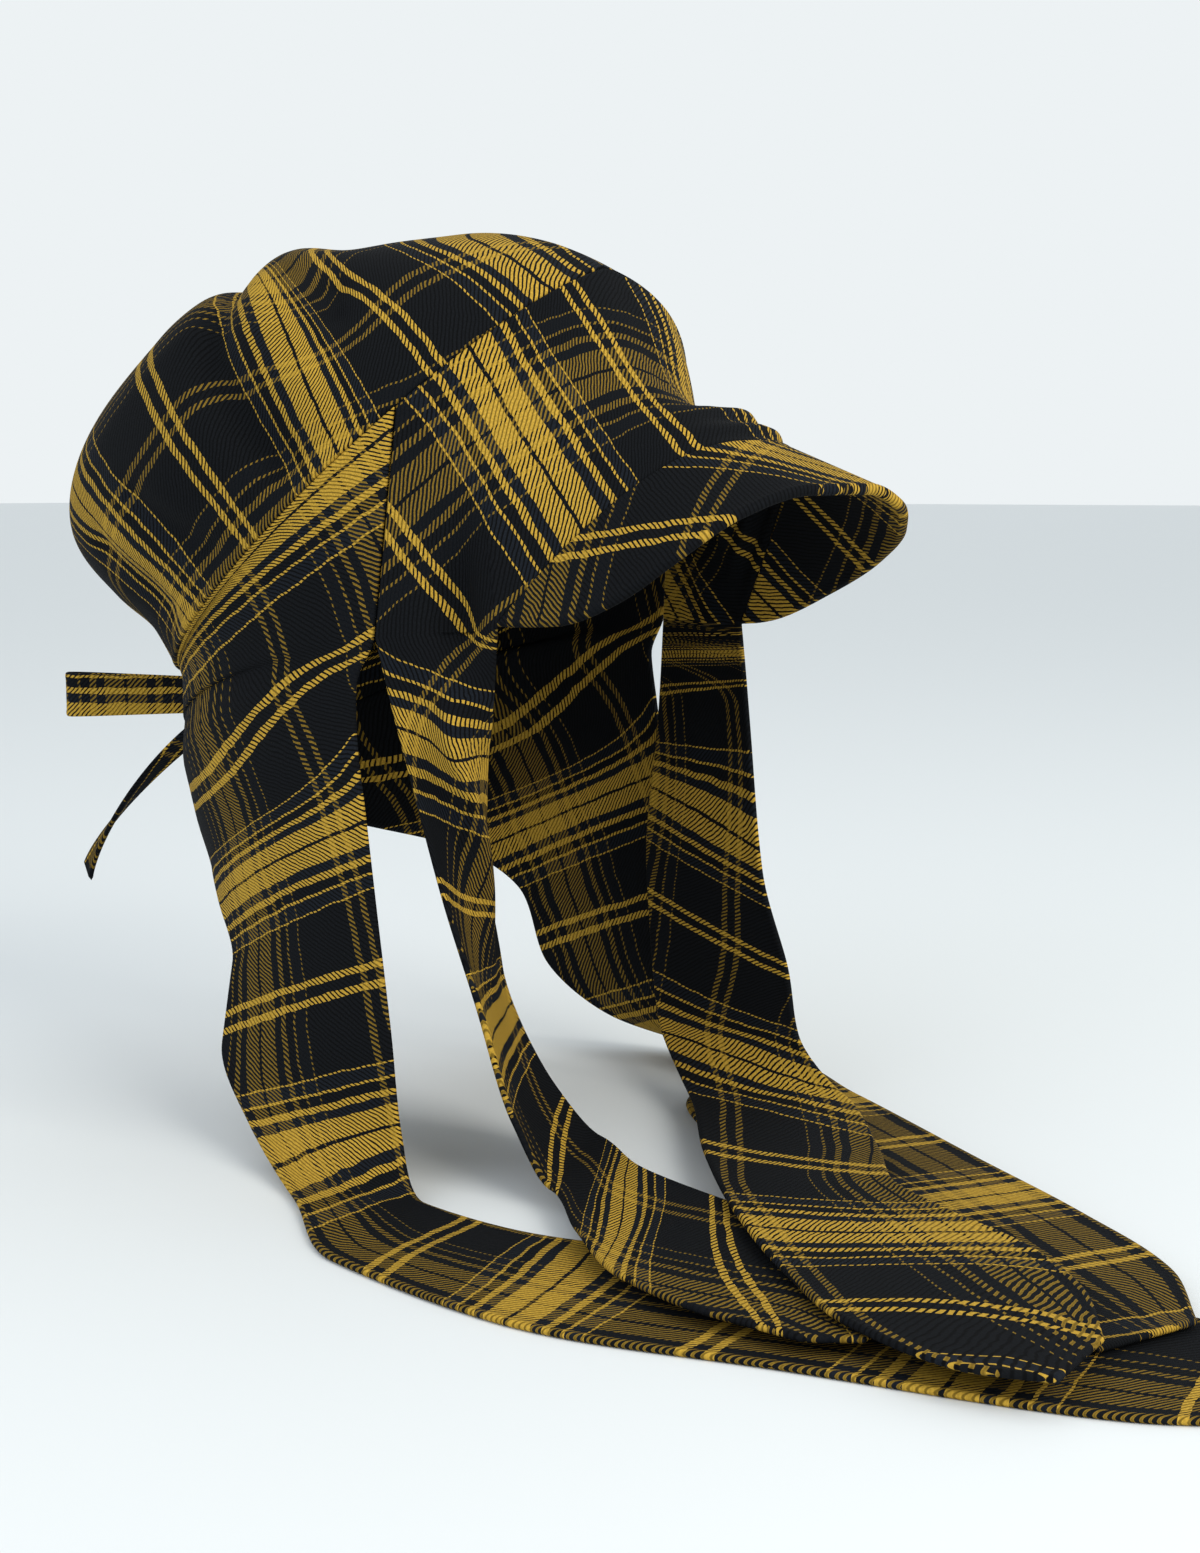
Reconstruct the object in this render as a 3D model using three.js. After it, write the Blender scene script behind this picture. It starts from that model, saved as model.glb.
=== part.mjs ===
// A soft tartan cap: a puffy crown on a tilted seam ring, a front and two back bands that run on into
// four long tails, an arched peak and a tie bow at the back. Millimetres, +Z up, the front faces -Y.
// The origin is the middle of the head opening, level with the corners of the peak.
import * as THREE from 'three';

// Cloth and seams
const cloth = 1.6;
const peakThickness = 3.4;
const seamGap = 0.35;

// Seam ring between crown and bands: it tilts down towards the back
const ringLength = 245;
const ringWidth = 194;
const ringTilt = 37.4;
const ringMiddleBack = 67;
const ringMiddleUp = 52;
const ringDip = 28;
const ringSquareness = 0.9;
const sideSeamAngle = 55;

// Crown
const crownHeight = 97;
const poleShift = 40;
const crownFoldDepth = 9;
const crownFoldWidth = 10;

// Head opening, bands and slits
const sideHalf = 85;
const backReach = 165;
const slitBack = 4;
const slitDrop = 5;

// Peak: the seam rises in an arch from its two corners
const peakCornerHalf = 73.5;
const peakCornerFore = 42.5;
const peakSeamFore = 99;
const peakSeamRise = 62;
const peakReach = 49;
const leftCornerSag = 6;

// Tails hang to the surface that they lie on, in layers
const drop = 196.5;
const layerStep = 3.2;
const firstBed = 1.3;
const cornerShare = 0.17;
const frontFoldDepth = 11;

// Tie bow
const knotWidth = 24;
const knotDepth = 15;
const knotHeight = 20;
const knotDown = 40;
const loopReach = 62;
const loopSwing = 35;
const loopHeight = 19;
const loopMouthWidth = 2.4;
const loopFullWidth = 7.5;
const endWidth = 12;
const rightEndOut = 62;
const rightEndFall = 69;
const leftEndOut = 48;
const leftEndFall = 70;
const tieThickness = 1.8;

const degree = Math.PI / 180;

// Turns rows of numbers into rows with named columns
function table(names, rows) {
  return rows.map((row) => Object.fromEntries(names.map((name, k) => [name, row[k]])));
}

// Smooth curve through one column of a table that never swings past its rows
function along(rows, column, way) {
  const slope = (i) => (rows[i + 1][column] - rows[i][column]) / (rows[i + 1].way - rows[i].way);
  const last = rows.length - 1;
  const tangent = (i) => {
    if (i === 0) return slope(0);
    if (i === last) return slope(last - 1);
    if (slope(i - 1) * slope(i) <= 0) return 0;
    const before = rows[i].way - rows[i - 1].way;
    const after = rows[i + 1].way - rows[i].way;
    return 3 * (before + after) / ((2 * after + before) / slope(i - 1) + (after + 2 * before) / slope(i));
  };
  let i = 0;
  while (i < last - 1 && way > rows[i + 1].way) i += 1;
  const span = rows[i + 1].way - rows[i].way;
  const t = Math.min(Math.max((way - rows[i].way) / span, 0), 1);
  const t2 = t * t;
  const t3 = t2 * t;
  return (2 * t3 - 3 * t2 + 1) * rows[i][column] + (t3 - 2 * t2 + t) * span * tangent(i)
    + (3 * t2 - 2 * t3) * rows[i + 1][column] + (t3 - t2) * span * tangent(i + 1);
}

function hump(offset, width) {
  return Math.exp(-((offset / width) ** 2));
}

function smoothStep(from, to, value) {
  const t = Math.min(Math.max((value - from) / (to - from), 0), 1);
  return t * t * (3 - 2 * t);
}

// Seam ring. The angle is 0 at the front and grows towards the wearer's left (+X).
const slopeBack = new THREE.Vector3(0, Math.cos(ringTilt * degree), -Math.sin(ringTilt * degree));
const slopeUp = new THREE.Vector3(0, Math.sin(ringTilt * degree), Math.cos(ringTilt * degree));
const ringMiddle = new THREE.Vector3(0, ringMiddleBack, ringMiddleUp);

function onRing(angle, out, up, dipShare, shift) {
  const c = Math.cos(angle * degree);
  const s = Math.sin(angle * degree);
  const across = Math.sign(s) * Math.abs(s) ** ringSquareness * out * ringWidth / 2;
  return ringMiddle.clone()
    .addScaledVector(slopeBack, shift - c * out * ringLength / 2)
    .addScaledVector(slopeUp, up - dipShare * ringDip * Math.abs(s) ** ringSquareness)
    .add(new THREE.Vector3(across, 0, 0));
}

// Crown profile from the ring (way 0) to the pole (way 1), at the front, the side and the back.
// Up is a share of the crown's height, out a share of the way from the pole to the ring.
const crownProfile = table(['way', 'frontUp', 'frontOut', 'sideUp', 'sideOut', 'backUp', 'backOut'], [
  [0.00, 0.00, 1.00, 0.00, 1.00, 0.00, 1.00],
  [0.15, 0.16, 0.95, 0.12, 1.07, 0.16, 0.98],
  [0.32, 0.39, 0.84, 0.34, 1.13, 0.36, 1.08],
  [0.50, 0.60, 0.69, 0.62, 1.06, 0.62, 1.18],
  [0.68, 0.80, 0.47, 0.85, 0.78, 0.87, 1.02],
  [0.85, 0.94, 0.22, 0.97, 0.40, 1.00, 0.58],
  [1.00, 1.00, 0.00, 1.00, 0.00, 1.00, 0.00],
]);

// Folds and dents of the crown. Each runs along the ring's angle and the way up between two ends through
// a middle; width and depth are shares of the crown fold's, and a negative depth stands out.
const crownFolds = table(['fromAngle', 'fromWay', 'midAngle', 'midWay', 'toAngle', 'toWay', 'width', 'depth'], [
  [-78, 0.10, -80, 0.38, -56, 0.78, 1.00, 1.00],
  [-66, 0.20, -66, 0.42, -50, 0.62, 1.60, -0.45],
  [-57, 0.31, -56, 0.34, -54, 0.37, 0.60, 0.50],
  [-100, 0.08, -104, 0.20, -108, 0.32, 0.80, 0.40],
  [-122, 0.08, -124, 0.22, -128, 0.36, 0.90, 0.50],
  [-40, 0.55, -20, 0.62, 0, 0.60, 1.40, 0.30],
  [45, 0.15, 55, 0.35, 75, 0.60, 1.30, 0.50],
  [95, 0.10, 105, 0.35, 118, 0.62, 1.20, 0.75],
  [140, 0.08, 146, 0.22, 152, 0.40, 1.00, 0.50],
  [175, 0.08, 172, 0.24, 168, 0.42, 1.00, 0.45],
]);

function smoothCrown(angle, way) {
  const a = angle * degree;
  const front = Math.max(Math.cos(a), 0) ** 1.5;
  const back = Math.max(-Math.cos(a), 0) ** 1.5;
  const side = 1 - front - back;
  const mix = (part) => front * along(crownProfile, 'front' + part, way)
    + side * along(crownProfile, 'side' + part, way) + back * along(crownProfile, 'back' + part, way);
  const out = mix('Out');
  return onRing(angle, out, mix('Up') * crownHeight, 1 - way, poleShift * (1 - out));
}

const foldLines = crownFolds.map((fold) => {
  const steps = 10;
  const ends = table(['way', 'angle', 'up'], [
    [0, fold.fromAngle, fold.fromWay],
    [0.5, fold.midAngle, fold.midWay],
    [1, fold.toAngle, fold.toWay],
  ]);
  const points = [];
  for (let k = 0; k <= steps; k += 1) {
    points.push(smoothCrown(along(ends, 'angle', k / steps), along(ends, 'up', k / steps)));
  }
  return { ...fold, points };
});
const crownHeart = onRing(0, 0, crownHeight * 0.4, 0, poleShift * 0.5);

function crownPoint(angle, way) {
  const point = smoothCrown(angle, way);
  let inward = 0;
  for (const line of foldLines) {
    const distance = Math.min(...line.points.map((other) => other.distanceTo(point)));
    inward += line.depth * crownFoldDepth * hump(distance, line.width * crownFoldWidth);
  }
  const held = smoothStep(0, 0.12, way);
  const toHeart = crownHeart.clone().sub(point).normalize();
  return point.addScaledVector(toHeart, inward * held);
}

// Arc from one edge of a strip to the other, leaving each edge outwards by an angle in degrees
function arcAcross(first, second, leave, arrive, down, share) {
  const chord = second.clone().sub(first);
  const size = chord.length();
  chord.normalize();
  const out = chord.clone().cross(down).normalize();
  const handle = (0.333 + 0.057 * (Math.abs(leave) + Math.abs(arrive)) / 90) * size;
  const near = first.clone()
    .addScaledVector(chord, handle * Math.cos(leave * degree))
    .addScaledVector(out, handle * Math.sin(leave * degree));
  const far = second.clone()
    .addScaledVector(chord, -handle * Math.cos(arrive * degree))
    .addScaledVector(out, handle * Math.sin(arrive * degree));
  return { point: new THREE.CubicBezierCurve3(first, near, far, second).getPoint(share), out };
}

// A strip's edges at one way along it, from its table. Side and back are shares of the head opening's
// half width and back reach, and down is a share of the drop to the strip's own bed.
function edges(rows, way, mirror, bed) {
  const edge = (which) => new THREE.Vector3(
    mirror * along(rows, which + 'Side', way) * sideHalf,
    along(rows, which + 'Back', way) * backReach,
    -along(rows, which + 'Down', way) * (drop - bed),
  );
  return { near: edge('near'), far: edge('far') };
}

function stripPoint(rows, way, share, mirror, bed) {
  const step = 0.01;
  const here = edges(rows, way, mirror, bed);
  const before = edges(rows, Math.max(way - step, 0), mirror, bed);
  const after = edges(rows, Math.min(way + step, 1), mirror, bed);
  const down = after.near.add(after.far).sub(before.near).sub(before.far).normalize();
  const bow = (name) => -mirror * along(rows, name, way);
  return arcAcross(here.near, here.far, bow('leave'), bow('arrive'), down, share);
}

const stripColumns = ['way', 'nearSide', 'nearBack', 'nearDown', 'farSide', 'farBack', 'farDown', 'leave', 'arrive'];

// Back bands and tails: the near edge is the side seam and slit, the far edge the middle of the back
const backHanging = [
  [0.00, 0.98, -0.03, -0.378, 0.012, 1.00, 0.11, 40, 44],
  [0.13, 1.00, 0.025, 0.026, 0.012, 1.01, 0.34, 38, 50],
  [0.16, 1.02, 0.07, 0.11, 0.12, 0.98, 0.43, 38, 48],
  [0.20, 1.04, 0.06, 0.215, 0.44, 0.85, 0.50, 34, 40],
  [0.24, 1.05, 0.035, 0.335, 0.84, 0.61, 0.57, 20, 24],
  [0.29, 1.07, 0.00, 0.485, 1.00, 0.48, 0.67, 11, 11],
  [0.36, 1.11, -0.06, 0.715, 1.11, 0.46, 0.815, 8, 8],
];
const rightBackTail = table(stripColumns, [
  ...backHanging,
  [0.43, 1.17, -0.12, 0.905, 1.27, 0.29, 0.935, 5, 5],
  [0.48, 1.32, -0.26, 0.99, 1.55, 0.01, 0.995, 3, 3],
  [0.54, 1.30, -0.49, 1.00, 1.96, -0.31, 1.00, 0, 0],
  [0.64, 1.10, -0.85, 1.00, 2.06, -0.76, 1.00, 0, 0],
  [0.77, 0.85, -1.30, 1.00, 1.80, -1.30, 1.00, 0, 0],
  [0.91, 0.56, -1.79, 1.00, 1.48, -1.85, 1.00, 0, 0],
  [1.00, 0.73, -2.09, 1.00, 1.08, -2.13, 1.00, 0, 0],
]);
const leftBackTail = table(stripColumns, [
  ...backHanging,
  [0.43, 1.10, -0.11, 0.92, 1.28, 0.29, 0.95, 5, 5],
  [0.48, 0.90, -0.18, 0.99, 1.43, 0.05, 0.995, 3, 3],
  [0.54, 0.57, -0.22, 1.00, 1.42, -0.20, 1.00, 0, 0],
  [0.64, 0.22, -0.38, 1.00, 1.08, -0.53, 1.00, 0, 0],
  [0.77, -0.31, -0.82, 1.00, 0.53, -1.01, 1.00, 0, 0],
  [0.88, -0.73, -1.16, 1.00, 0.12, -1.37, 1.00, 0, 0],
  [0.96, -1.12, -1.45, 1.00, -0.26, -1.64, 1.00, 0, 0],
  [1.00, -1.12, -1.70, 1.00, -0.68, -1.78, 1.00, 0, 0],
]);

// A back band starts on the seam ring and follows the straight side seam to the slit.
// Its own curve takes over by the nape.
function backPoint(rows, way, share, mirror, bed) {
  const own = (at) => stripPoint(rows, way, at, mirror, bed).point;
  const point = own(share);
  const bandEnd = rows[1].way;
  if (way >= bandEnd) return point;
  const gapAngle = seamGap / (ringLength / 2) / degree;
  const seam = sideSeamAngle + gapAngle;
  const end = 180 - gapAngle;
  const onSeam = (at) => onRing(mirror * (seam + (end - seam) * at), 1, -cloth / 2, 1, 0);
  const start = (at) => stripPoint(rows, 0, at, mirror, bed).point;
  const fade = (1 - way / bandEnd) ** 2;
  const blended = (at, base) => base.addScaledVector(onSeam(at).sub(start(at)), fade);
  const slit = new THREE.Vector3(mirror * sideHalf, slitBack + seamGap, -slitDrop);
  const straight = onSeam(0).lerp(slit, way / bandEnd);
  return blended(share, point).addScaledVector(straight.sub(blended(0, own(0))), (1 - share) ** 3);
}

// Front tails: the near edge is the slit, the far edge runs on from the peak's corner
const frontColumns = [...stripColumns, 'fold'];
const rightFrontTail = table(frontColumns, [
  [0.00, 1.00, 0.02, 0.025, 0.865, -0.258, 0.00, 0, 0, 1.0],
  [0.07, 0.99, -0.02, 0.16, 0.82, -0.225, 0.17, 0, 0, 1.1],
  [0.13, 0.975, -0.055, 0.27, 0.73, -0.17, 0.26, 0, 0, 1.1],
  [0.25, 0.95, -0.135, 0.49, 0.56, -0.085, 0.48, 2, 2, 0.8],
  [0.35, 0.93, -0.23, 0.70, 0.32, -0.02, 0.69, 8, 8, 0.2],
  [0.45, 0.94, -0.33, 0.90, 0.26, -0.15, 0.92, 8, 8, 0.0],
  [0.53, 1.00, -0.45, 0.995, 0.32, -0.31, 0.995, 4, 4, 0.0],
  [0.64, 1.32, -0.65, 1.00, 0.55, -0.52, 1.00, 2, 2, 0.0],
  [0.76, 1.62, -0.88, 1.00, 0.70, -0.81, 1.00, 2, 2, 0.0],
  [0.87, 1.72, -1.12, 1.00, 0.80, -1.08, 1.00, 2, 2, 0.0],
  [0.96, 1.72, -1.29, 1.00, 1.12, -1.28, 1.00, 2, 2, 0.0],
  [1.00, 1.60, -1.39, 1.00, 1.42, -1.39, 1.00, 2, 2, 0.0],
]);
const leftFrontTail = table(frontColumns, [
  [0.00, 1.00, 0.02, 0.025, 0.865, -0.258, 0.03, 0, 0, 0.2],
  [0.12, 0.99, 0.035, 0.26, 0.88, -0.28, 0.27, 3, 3, 0.2],
  [0.25, 0.965, 0.06, 0.53, 0.89, -0.315, 0.56, 4, 4, 0.0],
  [0.34, 0.94, 0.04, 0.71, 0.87, -0.395, 0.75, 4, 4, 0.0],
  [0.43, 0.83, -0.04, 0.94, 0.81, -0.45, 0.89, 2, 2, 0.0],
  [0.50, 0.36, -0.30, 1.00, 0.68, -0.62, 0.98, 0, 0, 0.0],
  [0.58, -0.30, -0.58, 1.00, 0.20, -0.86, 1.00, 0, 0, 0.0],
  [0.68, -0.90, -0.88, 1.00, -0.18, -1.02, 1.00, 0, 0, 0.0],
  [0.79, -1.34, -1.15, 1.00, -0.36, -1.20, 1.00, 0, 0, 0.0],
  [0.89, -1.60, -1.36, 1.00, -0.53, -1.41, 1.00, 0, 0, 0.0],
  [0.96, -1.70, -1.59, 1.00, -0.82, -1.60, 1.00, 0, 0, 0.0],
  [1.00, -1.60, -1.75, 1.00, -1.20, -1.73, 1.00, 0, 0, 0.0],
]);
const foldAt = 0.64;
const foldWidth = 0.20;

// Peak seam from the right corner (share 0) to the left one (share 1)
function peakSeam(share) {
  const x = -peakCornerHalf * Math.cos(Math.PI * share);
  const k = Math.abs(x) / peakCornerHalf;
  const sag = x > 0 ? leftCornerSag * k ** 3 : 0;
  return new THREE.Vector3(
    x,
    (peakSeamFore - peakCornerFore) * k ** 2.4 - peakSeamFore,
    peakSeamRise * (1 - k ** 3) - sag,
  );
}

// Lower edge of the front band: slit, peak corner, peak seam, corner, slit
function bandLow(across) {
  const share = Math.min(Math.max((across - cornerShare) / (1 - 2 * cornerShare), 0), 1);
  const point = peakSeam(share);
  const beyond = 1 - Math.min(across, 1 - across) / cornerShare;
  if (beyond <= 0) return point;
  const slit = new THREE.Vector3(across < 0.5 ? -sideHalf : sideHalf, slitBack - seamGap, -slitDrop);
  return point.lerp(slit, beyond);
}

// Hollows (inwards) and ridges (outwards) of the front band, as shares of the front fold depth
const bandFolds = table(['across', 'way', 'wide', 'high', 'out'], [
  [0.58, 0.55, 0.19, 0.28, -1.35],
  [0.62, 0.76, 0.12, 0.055, 0.80],
  [0.62, 0.90, 0.14, 0.045, 0.50],
  [0.30, 0.50, 0.12, 0.30, 0.35],
  [0.20, 0.70, 0.05, 0.20, 0.20],
]);

function bandPoint(across, way) {
  const gapAngle = seamGap / (ringLength / 2) / degree;
  const reach = sideSeamAngle - gapAngle;
  const top = onRing(reach * (2 * across - 1), 1, -cloth / 2, 1, 0);
  const low = bandLow(across);
  const point = top.clone().lerp(low, way);
  const down = low.clone().sub(top).normalize();
  const aside = bandLow(Math.min(across + 0.01, 1)).sub(bandLow(Math.max(across - 0.01, 0))).normalize();
  const out = down.clone().cross(aside).normalize();
  let move = 0;
  for (const fold of bandFolds) {
    move += fold.out * hump(across - fold.across, fold.wide) * hump(way - fold.way, fold.high);
  }
  const tailShare = across / cornerShare;
  const crease = hump(tailShare - foldAt, foldWidth) * smoothStep(0.45, 1, way);
  const farShare = (1 - across) / cornerShare;
  const farCrease = leftFrontTail[0].fold * hump(farShare - foldAt, foldWidth) * smoothStep(0.45, 1, way);
  const held = smoothStep(0, 0.15, way) * (across > cornerShare && across < 1 - cornerShare
    ? 1 - smoothStep(0.93, 1, way) : 1);
  return point.addScaledVector(out, frontFoldDepth * (move * held - crease - farCrease));
}

// The tail takes over from the band's lower edge, with the band's crease running on into it
function frontTailPoint(rows, way, share, mirror, bed) {
  const { point, out } = stripPoint(rows, way, share, mirror, bed);
  const start = stripPoint(rows, 0, share, mirror, bed);
  const across = mirror < 0 ? share * cornerShare : 1 - share * cornerShare;
  const fade = Math.max(1 - way / 0.12, 0) ** 2;
  const crease = along(rows, 'fold', way) * hump(share - foldAt, foldWidth) * frontFoldDepth;
  const moved = point.addScaledVector(out, mirror * crease);
  const startMoved = start.point.addScaledVector(start.out, mirror * rows[0].fold
    * hump(share - foldAt, foldWidth) * frontFoldDepth);
  return moved.add(bandPoint(across, 1).sub(startMoved).multiplyScalar(fade));
}

// Outer edge of the peak, from the right corner to the left one. Side is a share of the corner's
// half width, fore a share of the peak's reach beyond the seam's front, up a share of the seam's rise.
const peakEdge = table(['way', 'side', 'fore', 'up'], [
  [0.00, -1.00, -1.15, 0.00],
  [0.10, -1.035, -0.55, 0.03],
  [0.18, -1.00, -0.14, 0.145],
  [0.27, -0.90, 0.29, 0.39],
  [0.36, -0.71, 0.59, 0.61],
  [0.46, -0.38, 0.84, 0.74],
  [0.55, -0.03, 0.99, 0.745],
  [0.62, 0.19, 1.02, 0.66],
  [0.69, 0.36, 0.90, 0.52],
  [0.78, 0.58, 0.51, 0.34],
  [0.88, 0.82, -0.14, 0.13],
  [0.96, 0.97, -0.83, -0.06],
  [1.00, 1.00, -1.15, -0.10],
]);

function peakPoint(share, out) {
  const inner = peakSeam(share);
  const outer = new THREE.Vector3(
    along(peakEdge, 'side', share) * peakCornerHalf,
    -peakSeamFore - along(peakEdge, 'fore', share) * peakReach,
    along(peakEdge, 'up', share) * peakSeamRise,
  );
  const across = outer.clone().sub(inner);
  const width = Math.max(across.length(), 4);
  across.normalize();
  const start = (peakThickness * 0.3 + seamGap) / width;
  return inner.addScaledVector(across, width * (start + (1 - start) * out));
}

// Surfaces made of grids of points, sewn together where grids share points
class Sheet {
  constructor() {
    this.points = [];
    this.index = new Map();
    this.faces = [];
  }

  add(point) {
    const key = point.toArray().map((value) => Math.round(value * 1000)).join();
    if (!this.index.has(key)) {
      this.index.set(key, this.points.length);
      this.points.push(point.clone());
    }
    return this.index.get(key);
  }

  grid(columns, rows, place) {
    const ids = [];
    for (let r = 0; r <= rows; r += 1) {
      ids.push([]);
      for (let c = 0; c <= columns; c += 1) ids[r].push(this.add(place(c / columns, r / rows)));
    }
    for (let r = 0; r < rows; r += 1) {
      for (let c = 0; c < columns; c += 1) {
        this.face(ids[r][c], ids[r][c + 1], ids[r + 1][c + 1]);
        this.face(ids[r][c], ids[r + 1][c + 1], ids[r + 1][c]);
      }
    }
    return this;
  }

  face(a, b, c) {
    if (a !== b && b !== c && c !== a) this.faces.push([a, b, c]);
  }

  // Gives the surface its thickness, half to each side, and closes it round its open edges
  solid(thickness) {
    const normals = this.points.map(() => new THREE.Vector3());
    const open = new Map();
    for (const [a, b, c] of this.faces) {
      const side = this.points[b].clone().sub(this.points[a]);
      const normal = side.cross(this.points[c].clone().sub(this.points[a]));
      for (const id of [a, b, c]) normals[id].add(normal);
      for (const [from, to] of [[a, b], [b, c], [c, a]]) {
        if (!open.delete(to + ' ' + from)) open.set(from + ' ' + to, [from, to]);
      }
    }
    const count = this.points.length;
    const place = (half) => this.points.flatMap((point, id) => point.clone()
      .addScaledVector(normals[id].clone().normalize(), half).toArray());
    const positions = [...place(thickness / 2), ...place(-thickness / 2)];
    const triangles = this.faces.flatMap(([a, b, c]) => [a, b, c, a + count, c + count, b + count]);
    for (const [from, to] of open.values()) {
      triangles.push(from, from + count, to + count, from, to + count, to);
    }
    return closedGeometry(positions, triangles);
  }
}

// Makes a geometry whose faces point out
function closedGeometry(positions, triangles) {
  const corner = (id) => new THREE.Vector3().fromArray(positions, id * 3);
  let volume = 0;
  for (let k = 0; k < triangles.length; k += 3) {
    const [a, b, c] = [0, 1, 2].map((n) => corner(triangles[k + n]));
    volume += a.dot(b.cross(c));
  }
  const geometry = new THREE.BufferGeometry();
  geometry.setAttribute('position', new THREE.Float32BufferAttribute(positions, 3));
  geometry.setIndex(volume > 0 ? triangles : triangles.toReversed());
  geometry.computeVertexNormals();
  return geometry;
}

const model = new THREE.Group();

function addPiece(name, geometry, color) {
  const material = new THREE.MeshStandardMaterial({ color, roughness: 0.85, metalness: 0 });
  const mesh = new THREE.Mesh(geometry, material);
  mesh.name = name;
  model.add(mesh);
}

const navy = 0x22262c;
const mustard = 0x8a7420;

function bedOf(layer) {
  return firstBed + layer * layerStep;
}

// Crown
const crownSheet = new Sheet();
crownSheet.grid(48, 13, (turn, way) => {
  const angle = (turn === 1 ? 0 : turn) * 360 - 180;
  const lift = onRing(0, 0, seamGap + cloth * 0.1, 0, 0).sub(ringMiddle);
  return crownPoint(angle, way).addScaledVector(lift, 1 - way);
});
addPiece('crown', crownSheet.solid(cloth), navy);

// Front band with its two tails
const frontSheet = new Sheet();
const tailColumns = 6;
frontSheet.grid(tailColumns, 9, (c, r) => bandPoint(c * cornerShare, r));
frontSheet.grid(20, 9, (c, r) => bandPoint(cornerShare + c * (1 - 2 * cornerShare), r));
frontSheet.grid(tailColumns, 9, (c, r) => bandPoint(1 - (1 - c) * cornerShare, r));
frontSheet.grid(tailColumns, 34, (c, r) => frontTailPoint(rightFrontTail, r, c, -1, bedOf(2)));
frontSheet.grid(tailColumns, 34, (c, r) => frontTailPoint(leftFrontTail, r, 1 - c, 1, bedOf(3)));
addPiece('front_panel', frontSheet.solid(cloth), navy);

// Back bands with their tails
const rightBack = new Sheet().grid(8, 42, (c, r) => backPoint(rightBackTail, r, c, -1, bedOf(0)));
addPiece('back_panel_right', rightBack.solid(cloth), mustard);
const leftBack = new Sheet().grid(8, 42, (c, r) => backPoint(leftBackTail, r, c, 1, bedOf(1)));
addPiece('back_panel_left', leftBack.solid(cloth), mustard);

// Tie bow: a knot against the middle of the back, two loops and two ends
function napeBack(height) {
  const middle = (way) => backPoint(rightBackTail, way, 1, -1, bedOf(0));
  let way = 0;
  while (way < 0.2 && middle(way).z > height) way += 0.002;
  return middle(way).y;
}
const knotBack = napeBack(-knotDown) + cloth / 2 + seamGap + knotDepth / 2;
const knotMiddle = new THREE.Vector3(0, knotBack, -knotDown);
const knotBall = new THREE.SphereGeometry(0.5, 20, 12);
knotBall.scale(knotWidth, knotDepth, knotHeight);
knotBall.translate(knotMiddle.x, knotMiddle.y, knotMiddle.z);
addPiece('tie_knot', knotBall, navy);

// The ribbon of a loop stands on edge, leaves the knot, turns round its tip and comes back
function loopPoint(turn, up, mirror) {
  const swing = loopSwing * degree;
  const ahead = new THREE.Vector3(mirror * Math.sin(swing), Math.cos(swing), 0);
  const aside = new THREE.Vector3(mirror * Math.cos(swing), -Math.sin(swing), 0);
  const bend = Math.sin(Math.PI * turn);
  const start = knotMiddle.clone().add(new THREE.Vector3(mirror * knotWidth * 0.28, 0, 0));
  const clear = knotDepth * 0.36 + seamGap;
  const height = loopHeight * (0.8 + 0.2 * bend);
  return start.addScaledVector(ahead, clear + (loopReach - clear) * bend ** 0.8)
    .addScaledVector(aside, -Math.cos(Math.PI * turn) * (loopMouthWidth + (loopFullWidth - loopMouthWidth) * bend))
    .add(new THREE.Vector3(0, 0, (up - 0.5) * height));
}
for (const [name, mirror] of [['tie_loop_right', -1], ['tie_loop_left', 1]]) {
  const loop = new Sheet().grid(2, 24, (c, r) => loopPoint(r, c, mirror));
  addPiece(name, loop.solid(tieThickness), navy);
}

// The ends leave the knot outwards, fall, and turn about their own length
const endRuns = table(['name', 'mirror', 'out', 'fall', 'swing', 'turnFrom', 'turnTo'], [
  ['tie_end_right', -1, rightEndOut, rightEndFall, 23, 60, -50],
  ['tie_end_left', 1, leftEndOut, leftEndFall, 55, 60, 10],
]);
function endPoint(run, share, across) {
  const swing = run.swing * degree;
  const level = new THREE.Vector3(run.mirror * Math.sin(swing), Math.cos(swing), 0);
  const start = knotMiddle.clone().add(new THREE.Vector3(run.mirror * knotWidth * 0.16, 0, -knotHeight * 0.46));
  const clear = tieThickness / 2 + seamGap;
  const middle = start.addScaledVector(level, clear + run.out * (1 - (1 - share) ** 1.3))
    .add(new THREE.Vector3(0, 0, -clear - run.fall * share ** 1.15));
  const turn = (run.turnFrom + (run.turnTo - run.turnFrom) * share) * degree;
  const steep = Math.atan2(run.fall, run.out);
  const side = new THREE.Vector3(-level.y, level.x, 0);
  const lift = new THREE.Vector3(level.x * Math.sin(steep), level.y * Math.sin(steep), Math.cos(steep));
  const width = endWidth * (0.75 + 0.25 * share);
  return middle.addScaledVector(side, (across - 0.5) * width * Math.cos(turn))
    .addScaledVector(lift, (across - 0.5) * width * Math.sin(turn));
}
for (const run of endRuns) {
  const end = new Sheet().grid(2, 14, (c, r) => endPoint(run, r, c));
  addPiece(run.name, end.solid(tieThickness), navy);
}

// Peak
const peakSheet = new Sheet().grid(28, 4, (c, r) => peakPoint(0.02 + 0.96 * c, r));
addPiece('peak', peakSheet.solid(peakThickness), navy);

export default model;
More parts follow.
